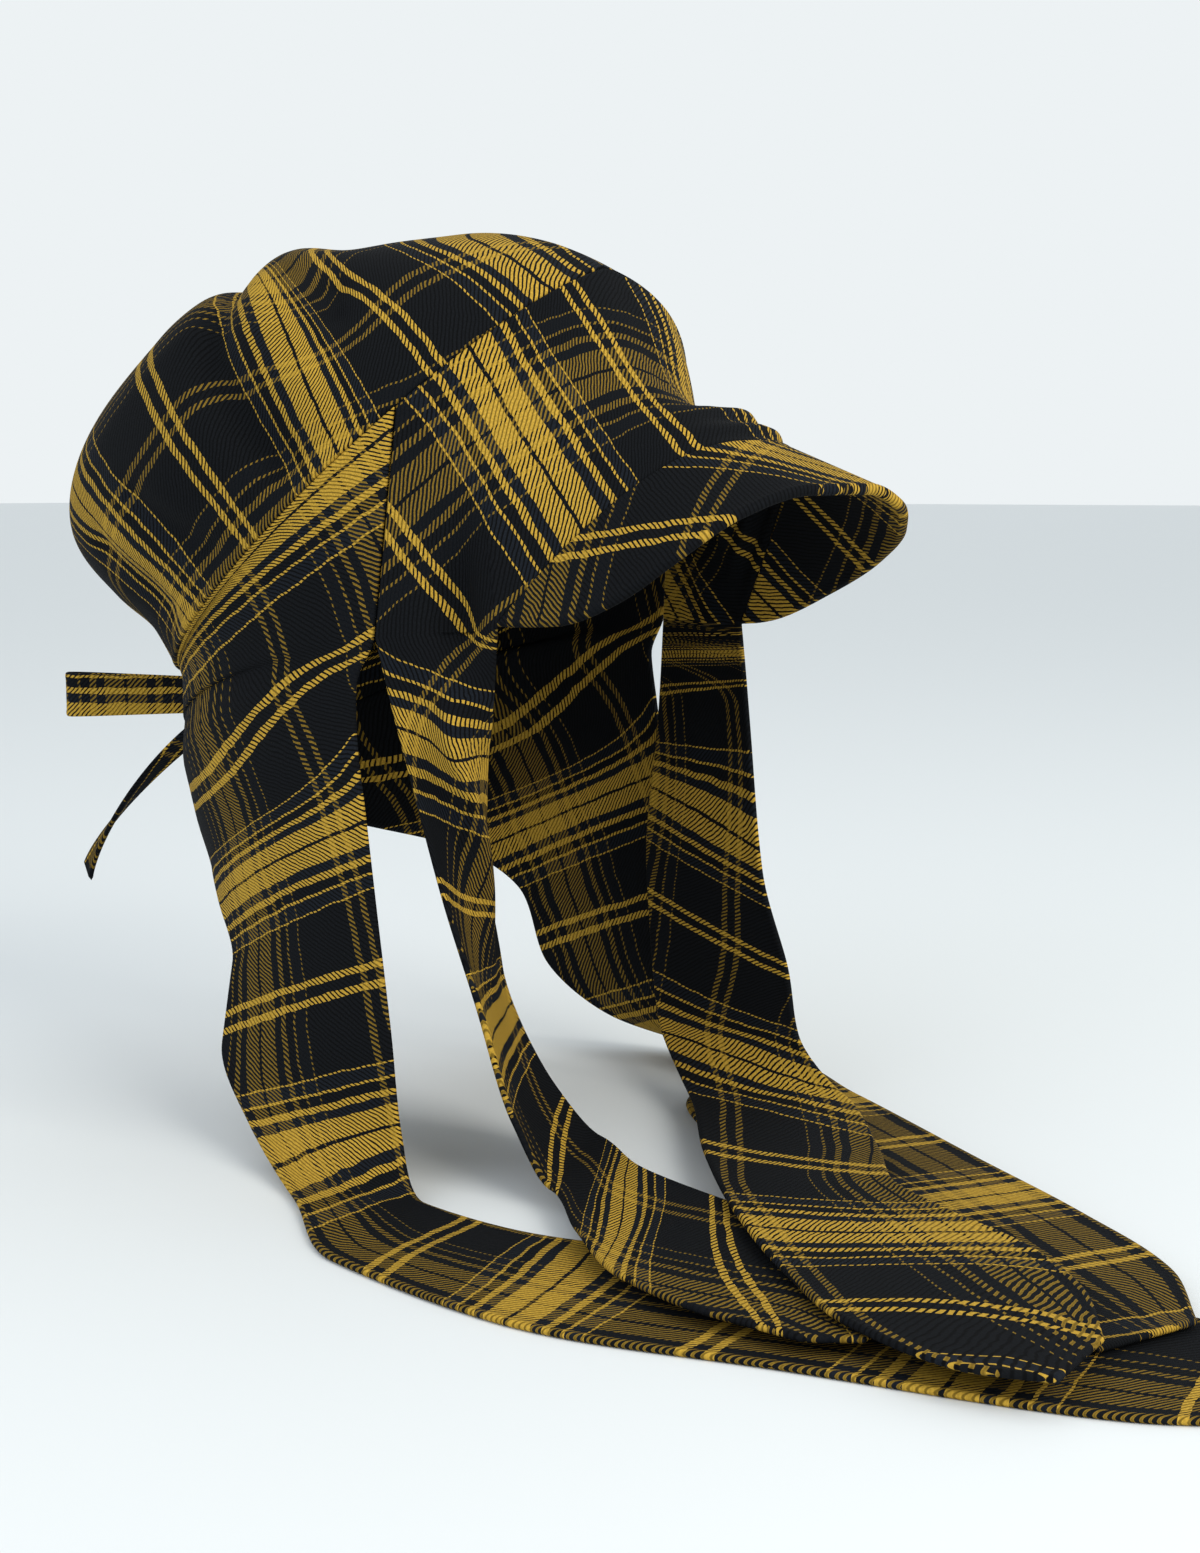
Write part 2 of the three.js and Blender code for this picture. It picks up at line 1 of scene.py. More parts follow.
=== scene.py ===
import math
import bpy
import numpy as np
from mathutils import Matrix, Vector


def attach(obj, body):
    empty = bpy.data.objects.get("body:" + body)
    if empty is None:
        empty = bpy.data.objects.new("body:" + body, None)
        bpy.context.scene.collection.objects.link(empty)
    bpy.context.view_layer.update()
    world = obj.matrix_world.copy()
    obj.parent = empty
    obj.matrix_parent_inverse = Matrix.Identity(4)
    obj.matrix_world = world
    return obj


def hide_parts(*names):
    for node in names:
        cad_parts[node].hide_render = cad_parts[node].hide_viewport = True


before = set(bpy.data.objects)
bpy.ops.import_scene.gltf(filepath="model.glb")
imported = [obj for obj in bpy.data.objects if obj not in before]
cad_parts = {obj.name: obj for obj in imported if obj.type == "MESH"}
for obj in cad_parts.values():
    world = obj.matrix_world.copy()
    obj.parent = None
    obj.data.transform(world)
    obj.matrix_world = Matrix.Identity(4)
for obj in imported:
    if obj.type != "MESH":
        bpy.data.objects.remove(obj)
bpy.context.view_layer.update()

# Camera and studio
# A pale floor that the tails lie on, a large soft light like a window in front of the cap, a weaker one at
# its right side, and a pale room around it. The camera stands before its right side, level with the seam.
camera_azimuth, camera_pitch = -52.0, 7.3
camera_place = (-0.656, -0.542, 0.047)
focal_pixels, photo_height = 2250, 1553
camera = bpy.data.objects.new("camera", bpy.data.cameras.new("camera"))
camera.data.sensor_fit = "VERTICAL"
camera.data.sensor_height = 24.0
camera.data.lens = camera.data.sensor_height * focal_pixels / photo_height
camera.data.clip_end = 50
camera.location = camera_place
camera.rotation_euler = (math.radians(90 - camera_pitch), 0, math.radians(camera_azimuth))
bpy.context.scene.collection.objects.link(camera)
bpy.context.scene.camera = camera
bpy.context.scene.view_settings.view_transform = "Standard"

floor_height, floor_half = -0.1965, 30


def linear(hex_colour):
    """sRGB hex value to linear red, green, blue and alpha."""
    part = np.array([int(hex_colour[k:k + 2], 16) / 255 for k in (1, 3, 5)])
    part = np.where(part <= 0.04045, part / 12.92, ((part + 0.055) / 1.055) ** 2.4)
    return (*part.tolist(), 1.0)


def add(tree, kind, inputs=None, **settings):
    """Adds one node: settings are its own properties, inputs give each socket a value or what feeds it."""
    made = tree.nodes.new(kind)
    for name, value in settings.items():
        setattr(made, name, value)
    for socket, value in (inputs or {}).items():
        if isinstance(value, bpy.types.Node):
            tree.links.new(value.outputs[0], made.inputs[socket])
        elif isinstance(value, bpy.types.NodeSocket):
            tree.links.new(value, made.inputs[socket])
        else:
            made.inputs[socket].default_value = value
    return made


# Matt painted board: a plain pale grey that takes a soft shadow
painted_board = bpy.data.materials.new("painted_board")
painted_board.use_nodes = True
board_shader = painted_board.node_tree.nodes["Principled BSDF"]
board_shader.inputs["Base Color"].default_value = linear("#DDE1E3")
board_shader.inputs["Roughness"].default_value = 0.7

floor_corners = [(-floor_half, -floor_half, floor_height), (floor_half, -floor_half, floor_height),
                 (floor_half, floor_half, floor_height), (-floor_half, floor_half, floor_height)]
floor_mesh = bpy.data.meshes.new("floor")
floor_mesh.from_pydata(floor_corners, [], [(0, 1, 2, 3)])
floor_mesh.materials.append(painted_board)
floor = bpy.data.objects.new("floor", floor_mesh)
bpy.context.scene.collection.objects.link(floor)


def soft_light(name, place, aim, size, power, colour):
    """A square area light at a place, turned to shine on a point."""
    lamp = bpy.data.lights.new(name, "AREA")
    lamp.size = size
    lamp.energy = power
    lamp.color = linear(colour)[:3]
    holder = bpy.data.objects.new(name, lamp)
    holder.location = place
    holder.rotation_euler = (Vector(aim) - Vector(place)).to_track_quat("-Z", "Y").to_euler()
    bpy.context.scene.collection.objects.link(holder)


soft_light("window", (-0.25, -1.9, 1.1), (0, 0, 0), 1.3, 34, "#FFFBF2")
soft_light("fill", (-1.8, 0.3, 0.7), (0, 0, 0), 1.6, 10, "#F0F4FF")

room = bpy.data.worlds.new("room")
room.use_nodes = True
room.node_tree.nodes["Background"].inputs["Color"].default_value = linear("#EDF2F4")
room.node_tree.nodes["Background"].inputs["Strength"].default_value = 1.0
bpy.context.scene.world = room

# Crown
# Puffed top of the cap, cut from the tartan and gathered onto the seam ring. It leans back, and one deep
# fold falls from its front right to the seam. All sizes are in mm and all angles in degrees.
cloth_half = 0.85
cloth_roll, roll_from_rim, roll_width = 0.35, 1.6, 1.3
seam_gap, rim_tuck = 0.35, 0.9
ring_length, ring_width, ring_tilt = 245, 194, 37.4
ring_middle = np.array([0.0, 67.0, 52.0])
ring_dip, ring_squareness = 28, 0.9
crown_height, pole_shift = 97, 40
crown_fold_depth, crown_fold_width = 9, 10


def table(names, rows):
    """Rows of numbers to named columns."""
    return dict(zip(names.split(), np.array(rows, float).T))


def along(rows, column, way):
    """Smooth curve through one column: a cubic between neighbouring rows, whose slope at each row is the
    harmonic mean of the slopes beside it, so that it never swings past the rows."""
    at, value = rows["way"], rows[column]
    gap = np.diff(at)
    slope = np.diff(value) / gap
    before, after = slope[:-1], slope[1:]
    same = before * after > 0
    mean = 3 * (gap[:-1] + gap[1:]) / ((2 * gap[1:] + gap[:-1]) / np.where(same, before, 1)
                                       + (gap[1:] + 2 * gap[:-1]) / np.where(same, after, 1))
    tangent = np.concatenate([slope[:1], np.where(same, mean, 0), slope[-1:]])
    way = np.asarray(way, float)
    i = np.clip(np.searchsorted(at, way) - 1, 0, len(gap) - 1)
    t = np.clip((way - at[i]) / gap[i], 0, 1)
    return ((2 * t**3 - 3 * t**2 + 1) * value[i] + (t**3 - 2 * t**2 + t) * gap[i] * tangent[i]
            + (3 * t**2 - 2 * t**3) * value[i + 1] + (t**3 - t**2) * gap[i] * tangent[i + 1])


def hump(offset, width):
    """Bell curve: e to the minus square of offset over width."""
    return np.exp(-(offset / width) ** 2)


def smooth_step(low, high, value):
    """0 at low and before it, 1 at high and past it, and a cubic between them."""
    t = np.clip((value - low) / (high - low), 0, 1)
    return t * t * (3 - 2 * t)


def unit(vectors):
    """Vectors of length one."""
    return vectors / np.maximum(np.linalg.norm(vectors, axis=-1, keepdims=True), 1e-9)


def on_ring(angle, out, up, dip_share, shift):
    """Point by the seam ring, a tilted oval whose sides dip: angle 0 is the front and grows to +X. Out is a
    share of the ring's size, up is the height over its plane, and shift moves the point back along it."""
    angle, out, up, dip_share, shift = np.broadcast_arrays(angle, out, up, dip_share, shift)
    back = np.array([0, math.cos(math.radians(ring_tilt)), -math.sin(math.radians(ring_tilt))])
    rise = np.array([0, math.sin(math.radians(ring_tilt)), math.cos(math.radians(ring_tilt))])
    c, s = np.cos(np.radians(angle)), np.sin(np.radians(angle))
    swell = np.abs(s) ** ring_squareness
    across = np.sign(s) * swell * out * ring_width / 2
    place = (ring_middle + (shift - c * out * ring_length / 2)[..., None] * back
             + (up - dip_share * ring_dip * swell)[..., None] * rise)
    place[..., 0] += across
    return place


# way runs from the rim to the top, up is a share of crown_height, and out a share of the ring's size
crown_profile = table("way frontUp frontOut sideUp sideOut backUp backOut", [
    [0.00, 0.00, 1.00, 0.00, 1.00, 0.00, 1.00],
    [0.15, 0.16, 0.95, 0.12, 1.07, 0.16, 0.98],
    [0.32, 0.39, 0.84, 0.34, 1.13, 0.36, 1.08],
    [0.50, 0.60, 0.69, 0.62, 1.06, 0.62, 1.18],
    [0.68, 0.80, 0.47, 0.85, 0.78, 0.87, 1.02],
    [0.85, 0.94, 0.22, 0.97, 0.40, 1.00, 0.58],
    [1.00, 1.00, 0.00, 1.00, 0.00, 1.00, 0.00],
])
crown_folds = [
    # from angle, way   middle angle, way   to angle, way   width  depth
    [-78, 0.10, -80, 0.38, -56, 0.78, 1.00, 1.00],
    [-66, 0.20, -66, 0.42, -50, 0.62, 1.60, -0.45],
    [-57, 0.31, -56, 0.34, -54, 0.37, 0.60, 0.50],
    [-100, 0.08, -104, 0.20, -108, 0.32, 0.80, 0.40],
    [-122, 0.08, -124, 0.22, -128, 0.36, 0.90, 0.50],
    [-40, 0.55, -20, 0.62, 0, 0.60, 1.40, 0.30],
    [45, 0.15, 55, 0.35, 75, 0.60, 1.30, 0.50],
    [95, 0.10, 105, 0.35, 118, 0.62, 1.20, 0.75],
    [140, 0.08, 146, 0.22, 152, 0.40, 1.00, 0.50],
    [175, 0.08, 172, 0.24, 168, 0.42, 1.00, 0.45],
]


def smooth_crown(angle, way):
    """Crown without folds: front, side and back profiles, mixed by the cosine of the angle to the power 1.5."""
    angle, way = np.broadcast_arrays(np.asarray(angle, float), np.asarray(way, float))
    c = np.cos(np.radians(angle))
    front, back = np.maximum(c, 0) ** 1.5, np.maximum(-c, 0) ** 1.5

    def mix(part):
        return (front * along(crown_profile, "front" + part, way)
                + (1 - front - back) * along(crown_profile, "side" + part, way)
                + back * along(crown_profile, "back" + part, way))
    out = mix("Out")
    return on_ring(angle, out, mix("Up") * crown_height, 1 - way, pole_shift * (1 - out))


def crown_points(angle, way):
    """Crown with its folds: each presses the cloth in, towards a point in the middle of the crown, by a bell
    curve of the distance to the fold's line. The rim is tucked in a little under the ring."""
    place = smooth_crown(angle, way)
    inward = np.zeros(place.shape[:-1])
    run = np.linspace(0, 1, 33)
    for a0, w0, a1, w1, a2, w2, width, depth in crown_folds:
        line_angle = along(table("way value", [[0, a0], [0.5, a1], [1, a2]]), "value", run)
        line_way = along(table("way value", [[0, w0], [0.5, w1], [1, w2]]), "value", run)
        line = smooth_crown(line_angle, line_way)
        distance = np.min([np.linalg.norm(place - spot, axis=-1) for spot in line], axis=0)
        inward += depth * crown_fold_depth * hump(distance, width * crown_fold_width)
    heart = on_ring(0, 0, crown_height * 0.4, 0, pole_shift * 0.5)
    place = place + unit(heart - place) * (inward * smooth_step(0, 0.12, way))[..., None]
    tuck = on_ring(0, 0, -rim_tuck, 0, 0) - ring_middle
    return place + (1 - np.asarray(way))[..., None] * tuck


def sew(grids):
    """Joins grids of points, with their places on the tartan, into one sheet: points that lie on one another
    become one. Returns points, four-cornered faces and places on the tartan."""
    points = np.concatenate([g.reshape(-1, 3) for g, _ in grids])
    cloth = np.concatenate([c.reshape(-1, 2) for _, c in grids])
    faces, first = [], 0
    for g, _ in grids:
        rows, columns = g.shape[:2]
        ids = first + np.arange(rows * columns).reshape(rows, columns)
        faces.append(np.stack([ids[:-1, :-1], ids[:-1, 1:], ids[1:, 1:], ids[1:, :-1]], -1).reshape(-1, 4))
        first += rows * columns
    faces = np.concatenate(faces)
    _, keep, same = np.unique(np.round(points, 3), axis=0, return_index=True, return_inverse=True)
    return points[keep], same.reshape(-1)[faces], cloth[keep]


def rim_of(faces):
    """Edges that only one face uses, as pairs of points."""
    pairs = np.concatenate([faces[:, [k, (k + 1) % 4]] for k in range(4)])
    pairs = pairs[pairs[:, 0] != pairs[:, 1]]
    both = np.sort(pairs, axis=1)
    _, spot, count = np.unique(both, axis=0, return_index=True, return_counts=True)
    return pairs[spot[count == 1]]


def distance_to_rim(points, rim, reach=12.0, block_size=1500):
    """Distance in mm from each point to the nearest rim edge, up to a reach, block by block of points."""
    start, end = points[rim[:, 0]], points[rim[:, 1]]
    along_edge = end - start
    size = np.maximum(np.sum(along_edge**2, axis=1), 1e-9)
    nearest = np.empty(len(points))
    for block in np.array_split(np.arange(len(points)), max(len(points) // block_size, 1)):
        away = points[block][:, None] - start[None]
        t = np.clip(np.sum(away * along_edge, axis=2) / size, 0, 1)
        nearest[block] = np.sqrt(np.min(np.sum((away - t[..., None] * along_edge) ** 2, axis=2), axis=1))
    return np.minimum(nearest, reach)


def normals_of(points, faces):
    """Normal of each point: the sum of its faces' normals, by size."""
    a, b, c, d = (points[faces[:, k]] for k in range(4))
    normal = np.cross(c - a, d - b)
    total = np.zeros_like(points)
    for k in range(4):
        for axis in range(3):
            total[:, axis] += np.bincount(faces[:, k], weights=normal[:, axis], minlength=len(points))
    return unit(total)


def wall(points, faces, cloth, half, roll):
    """Closed cloth wall round a sheet: half its thickness to each side, drawn in to a round edge along the
    rim, beside which the turned seam makes it a little thicker."""
    rim = rim_of(faces)
    off = distance_to_rim(points, rim)
    near = np.clip(off / half, 0, 1)
    thick = half * np.sqrt(1 - (1 - near) ** 2) + roll * near * hump(off - roll_from_rim, roll_width)
    at_rim = np.zeros(len(points), bool)
    at_rim[rim.reshape(-1)] = True
    thick[at_rim] = 0
    normal = normals_of(points, faces)
    inner_id = np.where(at_rim, np.arange(len(points)), len(points) + np.cumsum(~at_rim) - 1)
    outer = points + normal * thick[:, None]
    inner = (points - normal * thick[:, None])[~at_rim]
    closed = np.concatenate([faces, inner_id[faces][:, ::-1]])
    return np.concatenate([outer, inner]), closed, np.concatenate([cloth, cloth[~at_rim]])


def make_mesh(name, points, faces, cloth, material):
    """Mesh in metres from points in mm, with the places on the tartan as its UV map and the faces turned
    outwards by the sign of the volume. A face with two corners on one point becomes a triangle."""
    a, b, c, d = (points[faces[:, k]] for k in range(4))
    volume = np.sum(np.einsum("ij,ij->i", a, np.cross(b, c)) + np.einsum("ij,ij->i", a, np.cross(c, d)))
    if volume < 0:
        faces = faces[:, ::-1]
    mesh = bpy.data.meshes.new(name)
    mesh.vertices.add(len(points))
    mesh.vertices.foreach_set("co", (points * 0.001).astype(np.float32).ravel())
    whole = np.all(faces != np.roll(faces, 1, axis=1), axis=1)
    square = faces[whole]
    thin = [list(dict.fromkeys(face)) for face in faces[~whole].tolist() if len(set(face)) == 3]
    thin = np.array(thin).reshape(-1, 3)
    corners = np.concatenate([square.ravel(), thin.ravel()]).astype(np.int32)
    starts = np.concatenate([np.arange(len(square)) * 4, len(square) * 4 + np.arange(len(thin)) * 3])
    mesh.loops.add(len(corners))
    mesh.loops.foreach_set("vertex_index", corners)
    mesh.polygons.add(len(starts))
    mesh.polygons.foreach_set("loop_start", starts.astype(np.int32))
    mesh.polygons.foreach_set("use_smooth", np.ones(len(starts), bool))
    mesh.uv_layers.new(name="cloth").data.foreach_set("uv", cloth[corners].astype(np.float32).ravel())
    mesh.update(calc_edges=True)
    mesh.validate()
    mesh.materials.append(material)
    piece = bpy.data.objects.new(name, mesh)
    bpy.context.scene.collection.objects.link(piece)
    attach(piece, "root")
    return piece


def turned(flat, grain, start=(0.0, 0.0)):
    """Flat places turned by the grain's angle in degrees and moved to where they lie on the tartan."""
    c, s = math.cos(math.radians(grain)), math.sin(math.radians(grain))
    return np.stack([flat[..., 0] * c - flat[..., 1] * s + start[0],
                     flat[..., 0] * s + flat[..., 1] * c + start[1]], -1)


# Brushed cotton and wool twill, woven two over one under: the yarns that show more make bright stripes, and the
# others, which lie lower, are darkened by painted shade; mustard crosses mustard as a solid block. Wales 1.5 mm
# apart run across both.
sett, thread = 115.2, 0.70
yarn_wander = 1.6
# Painted shade on the yarns that pass under: their colour is multiplied by this share
under_yarn_painted_shade = 0.62
mustard, navy, black = "#B08D34", "#161A20", "#0F1114"
sett_rows = [
    # distance in mm from the middle of the wide band to where a colour starts
    (0.0, black), (0.6, mustard), (8.7, navy), (12.5, mustard), (15.1, black), (19.2, mustard), (20.4, navy),
    (25.7, mustard), (26.5, black), (52.7, mustard), (55.5, black),
]


def tartan(name):
    """Twill tartan on the cloth UV map, whose unit is a millimetre: stripes of one yarn system run along v,
    those of the other along u, and a diagonal wale picks the system that shows. The lower yarns and the
    grooves between wales are darkened by painted shade."""
    made = bpy.data.materials.new(name)
    made.use_nodes = True
    tree = made.node_tree
    shader = tree.nodes["Principled BSDF"]
    uv = add(tree, "ShaderNodeUVMap", uv_map="cloth")
    wander = add(tree, "ShaderNodeTexNoise", {"Vector": uv, "Scale": 0.11, "Detail": 2.0},
                 noise_dimensions="2D")
    pull = add(tree, "ShaderNodeVectorMath", {0: wander.outputs["Color"], 1: (0.5, 0.5, 0.5)},
               operation="SUBTRACT")
    place = add(tree, "ShaderNodeVectorMath", {0: pull, 1: (yarn_wander, yarn_wander, 0), 2: uv},
                operation="MULTIPLY_ADD")
    split = add(tree, "ShaderNodeSeparateXYZ", {0: place})
    yarn = []
    for axis in (0, 1):
        folded = add(tree, "ShaderNodeMath", {0: split.outputs[axis], 1: sett / 2}, operation="PINGPONG")
        share = add(tree, "ShaderNodeMath", {0: folded, 1: sett / 2}, operation="DIVIDE")
        stripes = add(tree, "ShaderNodeValToRGB", {0: share})
        stripes.color_ramp.interpolation = "CONSTANT"
        for distance, _ in sett_rows[2:]:
            stripes.color_ramp.elements.new(distance / (sett / 2))
        for k, (distance, colour) in enumerate(sett_rows):
            stripes.color_ramp.elements[k].position = distance / (sett / 2)
            stripes.color_ramp.elements[k].color = linear(colour)
        yarn.append(stripes)
    diagonal = add(tree, "ShaderNodeMath", {0: split.outputs[0], 1: split.outputs[1]}, operation="SUBTRACT")
    wales = add(tree, "ShaderNodeMath", {0: diagonal, 1: 3 * thread}, operation="DIVIDE")
    wale = add(tree, "ShaderNodeMath", {0: wales}, operation="FRACT")
    middle = add(tree, "ShaderNodeMath", {0: wale, 1: 0.5}, operation="SUBTRACT")
    off = add(tree, "ShaderNodeMath", {0: middle}, operation="ABSOLUTE")
    over = add(tree, "ShaderNodeMapRange", {"Value": off, "From Min": 0.33, "From Max": 0.27},
               interpolation_type="SMOOTHSTEP")
    # Painted shade: the lower yarn system's colour is darkened, as if it lay in the shadow of the floats
    low = add(tree, "ShaderNodeVectorMath", {0: yarn[1], "Scale": under_yarn_painted_shade}, operation="SCALE")
    colour = add(tree, "ShaderNodeMix", {0: over, 6: low, 7: yarn[0]}, data_type="RGBA")
    grain = add(tree, "ShaderNodeTexNoise", {"Vector": uv, "Scale": 1.3, "Detail": 3.0},
                noise_dimensions="2D")
    uneven = add(tree, "ShaderNodeMapRange",
                 {"Value": grain, "From Min": 0.3, "From Max": 0.7, "To Min": 0.78, "To Max": 1.18})
    # Wale grooves: a height for the bump that also multiplies the colour, as painted shade between the wales
    groove_bump_and_shade = add(tree, "ShaderNodeMapRange",
                 {"Value": off, "From Min": 0.5, "From Max": 0.25, "To Min": 0.55},
                 interpolation_type="SMOOTHSTEP")
    # Random tone of the yarn times the painted shade of the grooves
    depth = add(tree, "ShaderNodeMath", {0: uneven, 1: groove_bump_and_shade}, operation="MULTIPLY")
    shaded = add(tree, "ShaderNodeVectorMath", {0: colour.outputs[2], "Scale": depth}, operation="SCALE")
    tree.links.new(shaded.outputs[0], shader.inputs["Base Color"])
    bump = add(tree, "ShaderNodeBump", {"Height": groove_bump_and_shade, "Strength": 0.5, "Distance": 0.0003})
    tree.links.new(bump.outputs[0], shader.inputs["Normal"])
    shader.inputs["Roughness"].default_value = 0.9
    shader.inputs["Specular IOR Level"].default_value = 0.08
    return made


tartan_twill = tartan("tartan_twill")


def cloth_piece(name, grids, half, roll):
    """Closed piece of tartan cloth from its grids of points and their places on the tartan."""
    return make_mesh(name, *wall(*sew(grids), half, roll), tartan_twill)


crown_angle = np.linspace(-180, 180, 301)
crown_way = np.concatenate([[0, 0.003, 0.006, 0.010, 0.015, 0.022], np.linspace(0.032, 1, 84)])
crown_grid = crown_points(crown_angle[None, :], crown_way[:, None])
crown_grid[:, -1] = crown_grid[:, 0]
crown_run = np.linalg.norm(np.diff(crown_grid[::-1], axis=0), axis=2)
crown_reach = np.concatenate([0 * crown_run[:1], np.cumsum(crown_run, axis=0)])[::-1]
crown_lie = table("way u v", [
    # angle on the ring, and the place on the tartan of the cloth that is gathered there
    [-195, -235, 200], [-170, -222, 130], [-150, -190, 60], [-130, -148, 12], [-118, -118, 5],
    [-91, -57.6, 5], [-68, 0, 8], [-60, 20, 15], [-44, 57.6, 25], [-15, 115, 28], [15, 150, 60],
    [50, 120, 230], [95, -43, 400], [140, -190, 320], [165, -235, 200], [190, -222, 130],
])
crown_top_place = (-43, 205)
# Towards the top the cloth goes straight on, so round the ring it is drawn to its place by a power of 1.5
crown_share = crown_reach / crown_reach[0]
crown_drawn = 1 - (1 - crown_share) ** 1.5
crown_u = crown_top_place[0] * (1 - crown_drawn) + along(crown_lie, "u", crown_angle) * crown_drawn
crown_v = crown_top_place[1] * (1 - crown_share) + along(crown_lie, "v", crown_angle) * crown_share
# The deep fold takes up cloth: in front of it the tartan lies further round, and in it further along
fold_take_round, fold_take_along = 32, 38
fold_middle_angle, fold_half_angle = -62, 13
before_fold = smooth_step(-66, -55, crown_angle) * (1 - smooth_step(-40, 30, crown_angle))
in_fold = hump(crown_angle - fold_middle_angle, fold_half_angle)
fold_run = smooth_step(1.0, 0.72, crown_share) * smooth_step(0.15, 0.5, crown_share)
crown_u += fold_take_round * before_fold * hump(crown_share - 0.62, 0.25)
crown_v += fold_take_along * in_fold * fold_run
crown_cloth = np.stack([crown_u, crown_v], -1)
crown = cloth_piece("crown_cloth", [(crown_grid, crown_cloth)], cloth_half, cloth_roll)
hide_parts("crown")

# Front panel
# Tall front band cut in one with its two front tails: it is sewn to the crown along the ring and to the peak
# below, and the tails hang from the peak's corners to the table and turn forward on it.
sewn_thickness = 1.6
side_half, back_reach = 85, 165
slit_back, slit_drop = 4, 5
side_seam_angle = 55
peak_corner_half, peak_corner_fore = 73.5, 42.5
peak_seam_fore, peak_seam_rise = 99, 62
left_corner_sag = 6
table_drop = 196.5
first_bed, layer_step = 1.3, 3.2
corner_share, front_fold_depth = 0.17, 11
fold_at, fold_width = 0.64, 0.20
join_fade, lie_fade, tip_from = 0.12, 0.09, 0.8

band_folds = [
    # across  way   wide   high   out
    [0.58, 0.55, 0.19, 0.28, -1.35],
    [0.62, 0.76, 0.12, 0.055, 0.80],
    [0.62, 0.90, 0.14, 0.045, 0.50],
    [0.30, 0.50, 0.12, 0.30, 0.35],
    [0.20, 0.70, 0.05, 0.20, 0.20],
]
# way is a share of the tail's length; side, back and down are shares of side_half, back_reach and table_drop;
# leave and arrive are the edges' angles, and fold is a share of front_fold_depth
front_columns = "way nearSide nearBack nearDown farSide farBack farDown leave arrive fold"
right_front_tail = table(front_columns, [
    [0.00, 1.00, 0.02, 0.025, 0.865, -0.258, 0.00, 0, 0, 1.0],
    [0.07, 0.99, -0.02, 0.16, 0.82, -0.225, 0.17, 0, 0, 1.1],
    [0.13, 0.975, -0.055, 0.27, 0.73, -0.17, 0.26, 0, 0, 1.1],
    [0.25, 0.95, -0.135, 0.49, 0.56, -0.085, 0.48, 2, 2, 0.8],
    [0.35, 0.93, -0.23, 0.70, 0.32, -0.02, 0.69, 8, 8, 0.2],
    [0.45, 0.94, -0.33, 0.90, 0.26, -0.15, 0.92, 8, 8, 0.0],
    [0.53, 1.00, -0.45, 0.995, 0.32, -0.31, 0.995, 4, 4, 0.0],
    [0.64, 1.32, -0.65, 1.00, 0.55, -0.52, 1.00, 2, 2, 0.0],
    [0.76, 1.62, -0.88, 1.00, 0.70, -0.81, 1.00, 2, 2, 0.0],
    [0.87, 1.72, -1.12, 1.00, 0.80, -1.08, 1.00, 2, 2, 0.0],
    [0.96, 1.72, -1.29, 1.00, 1.12, -1.28, 1.00, 2, 2, 0.0],
    [1.00, 1.60, -1.39, 1.00, 1.42, -1.39, 1.00, 2, 2, 0.0],
])
left_front_tail = table(front_columns, [
    [0.00, 1.00, 0.02, 0.025, 0.865, -0.258, 0.03, 0, 0, 0.2],
    [0.12, 0.99, 0.035, 0.26, 0.88, -0.28, 0.27, 3, 3, 0.2],
    [0.25, 0.965, 0.06, 0.53, 0.89, -0.315, 0.56, 4, 4, 0.0],
    [0.34, 0.94, 0.04, 0.71, 0.87, -0.395, 0.75, 4, 4, 0.0],
    [0.43, 0.83, -0.04, 0.94, 0.81, -0.45, 0.89, 2, 2, 0.0],
    [0.50, 0.36, -0.30, 1.00, 0.68, -0.62, 0.98, 0, 0, 0.0],
    [0.58, -0.30, -0.58, 1.00, 0.20, -0.86, 1.00, 0, 0, 0.0],
    [0.68, -0.90, -0.88, 1.00, -0.18, -1.02, 1.00, 0, 0, 0.0],
    [0.79, -1.34, -1.15, 1.00, -0.36, -1.20, 1.00, 0, 0, 0.0],
    [0.89, -1.60, -1.36, 1.00, -0.53, -1.41, 1.00, 0, 0, 0.0],
    [0.96, -1.70, -1.59, 1.00, -0.82, -1.60, 1.00, 0, 0, 0.0],
    [1.00, -1.60, -1.75, 1.00, -1.20, -1.73, 1.00, 0, 0, 0.0],
])


def peak_seam(share):
    """Seam of the peak from its right corner to its left: an arch that falls by the third power of the distance
    from its middle and comes back by the power 2.4."""
    x = -peak_corner_half * np.cos(np.pi * share)
    k = np.abs(x) / peak_corner_half
    sag = np.where(x > 0, left_corner_sag * k**3, 0)
    return np.stack([x, (peak_seam_fore - peak_corner_fore) * k**2.4 - peak_seam_fore,
                     peak_seam_rise * (1 - k**3) - sag], -1)


def band_low(across):
    """Lower edge of the front band: from the right slit to the peak's corner, along its seam, and on to the
    left slit."""
    share = np.clip((across - corner_share) / (1 - 2 * corner_share), 0, 1)
    beyond = np.clip(1 - np.minimum(across, 1 - across) / corner_share, 0, 1)[..., None]
    slit = np.stack([np.where(across < 0.5, -side_half, side_half),
                     np.full(across.shape, slit_back - seam_gap),
                     np.full(across.shape, -slit_drop)], -1)
    return peak_seam(share) * (1 - beyond) + slit * beyond


